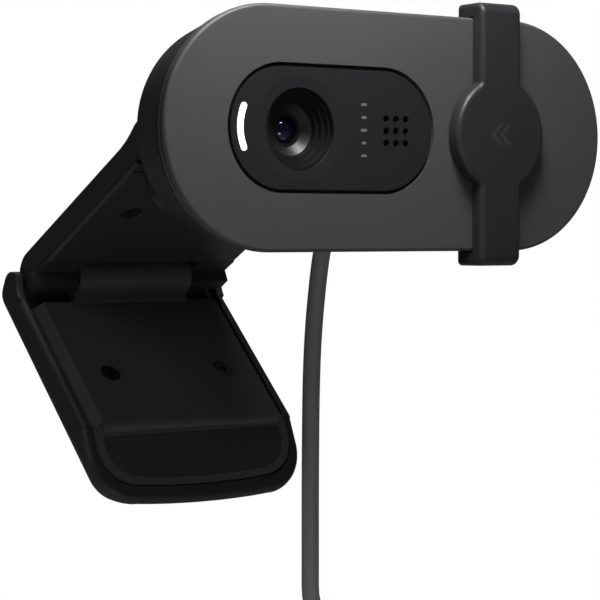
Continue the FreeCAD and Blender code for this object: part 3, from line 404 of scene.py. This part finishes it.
panelMarks = {"x": -5.55, "z": 0.1, "bars": (1.0, 0.8, 1.0, 0.7, 0.95), "high": 0.36, "pitch": 1.7,
              "front": 0.045, "thick": 0.03, "roundShare": 0.45, "roundSteps": 4}
shutterMark = {"x": 16.7, "z": 0.0, "front": -2.262, "thick": 0.03, "reach": 1.5, "width": 0.55,
               "gap": 1.5}
diagonal = 1.414


def addPanelMarks():  # short printed bars, one over another
    bm = bmesh.new()
    high = panelMarks["high"]
    for number, long in enumerate(panelMarks["bars"]):
        bar = bmesh.ops.create_cube(bm, size=1.0)["verts"]
        bmesh.ops.scale(bm, verts=bar, vec=(long * mm, panelMarks["thick"] * mm, high * mm))
        ends = [e for e in bm.edges
                if e.verts[0] in bar and abs(e.verts[0].co.y - e.verts[1].co.y) > 1e-6]
        rounded = bmesh.ops.bevel(bm, geom=ends, offset=high * panelMarks["roundShare"] * mm,
                                  offset_type="OFFSET", segments=panelMarks["roundSteps"],
                                  profile=0.5, affect="EDGES", material=-1)
        whole = {v for f in rounded["faces"] for v in f.verts} | {v for v in bar if v.is_valid}
        rise = panelMarks["z"] + (len(panelMarks["bars"]) // 2 - number) * panelMarks["pitch"]
        bmesh.ops.translate(bm, verts=list(whole),
                            vec=inHead(panelMarks["x"], panelMarks["front"], rise))
    marks = meshObject("panelBars", bm)
    material, shader, tree = newMaterial("printGrey")
    inked = blendColours(tree, noise(tree, ownSpace(tree), 6.0, 3.0), (0.16, 0.16, 0.17),
                         (0.22, 0.22, 0.23))
    tree.links.new(inked, shader.inputs["Base Color"])
    shader.inputs["Roughness"].default_value = 0.45
    marks.data.materials.append(material)
    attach(marks, "camera_head")


def addShutterMark():  # two plain arrowheads that show the way the shutter slides
    bm = bmesh.new()
    reach, width = shutterMark["reach"], shutterMark["width"]
    for number in (0, 1):
        shift = (number - 0.5) * shutterMark["gap"]
        outline = [(0, reach), (-reach, 0), (0, -reach), (width * diagonal, -reach),
                   (-reach + width * diagonal, 0), (width * diagonal, reach)]
        corners = [bm.verts.new(inHead(shutterMark["x"] + x + shift, shutterMark["front"],
                                       shutterMark["z"] + z)) for x, z in outline]
        face = bm.faces.new(corners)
        grown = bmesh.ops.extrude_face_region(bm, geom=[face])
        risen = [v for v in grown["geom"] if isinstance(v, bmesh.types.BMVert)]
        bmesh.ops.translate(bm, verts=risen, vec=(0, shutterMark["thick"] * mm, 0))
    bmesh.ops.recalc_face_normals(bm, faces=bm.faces)
    mark = meshObject("shutterArrows", bm)
    material, shader, tree = newMaterial("arrowGloss")
    cloud = noise(tree, ownSpace(tree), 2.0, 2.0)
    tree.links.new(blendColours(tree, cloud, (0.046, 0.047, 0.049), (0.056, 0.057, 0.060)),
                   shader.inputs["Base Color"])
    shader.inputs["Roughness"].default_value = 0.22
    mark.data.materials.append(material)
    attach(mark, "shutter")


finishes = {
    "plateGraphite": ("front_plate",),
    "bandGraphite": ("front_frame",),
    "housingGraphite": ("rear_housing",),
    "armGraphite": ("arm_cover",),
    "legShellBlack": ("leg_shell",),
    # the leg face takes the dark plastic brightened with painted light
    "legFaceBlackPaintedLight": ("leg_inner_plate",),
    "armBaseBlack": ("arm_base_plate",),
    "shutterBlack": ("shutter_slider",),
    "panelBlack": ("lens_panel",),
    "shroudBlack": ("lens_shroud", "lens_barrel"),
    "innerBlack": ("tilt_bracket", "lens_holder", "cable_tie"),
    "plugBlack": ("plug_grip", "plug_relief", "cable_relief"),
    "headerNylon": ("cable_header",),
    "chipEpoxy": ("video_processor", "board_components"),
    "tongueWhite": ("plug_tongue", "status_led"),
    "padRubber": ("lip_pad", "leg_pad", "microphone_boot"),
    "feltBlack": ("shutter_felts",),
    "screwZinc": ("frame_screws", "board_screws", "bracket_screws", "arm_screws", "leg_screws"),
    "pinSteel": ("tilt_pin", "leg_pin", "tilt_washers", "friction_sleeve"),
    "plugSteel": ("plug_shell",),
    "canSteel": ("microphone",),
    "contactGold": ("plug_contacts",),
}
glassNodes = {"front_lens": "frontGlass", "rear_lens": "rearGlass", "ir_filter": "filterGlass",
              "image_sensor": "sensorDie"}


def giveFinish(node, material):
    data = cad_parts[node].data
    data.materials.clear()
    data.materials.append(material)


def addFinishes():
    for name, nodes in finishes.items():
        material = plasticMaterial(name) if name in plastics else metalMaterial(name)
        for node in nodes:
            giveFinish(node, material)
    for node, name in glassNodes.items():
        giveFinish(node, lensMaterial(name))
    giveFinish("led_light_guide", lightGuideMaterial())
    giveFinish("main_board", boardMaterial())
    print("finishes given")


addCamera()
addCable()
addLights()
addFloor()
addPanelMarks()
addShutterMark()
addFinishes()
print("all pieces made")
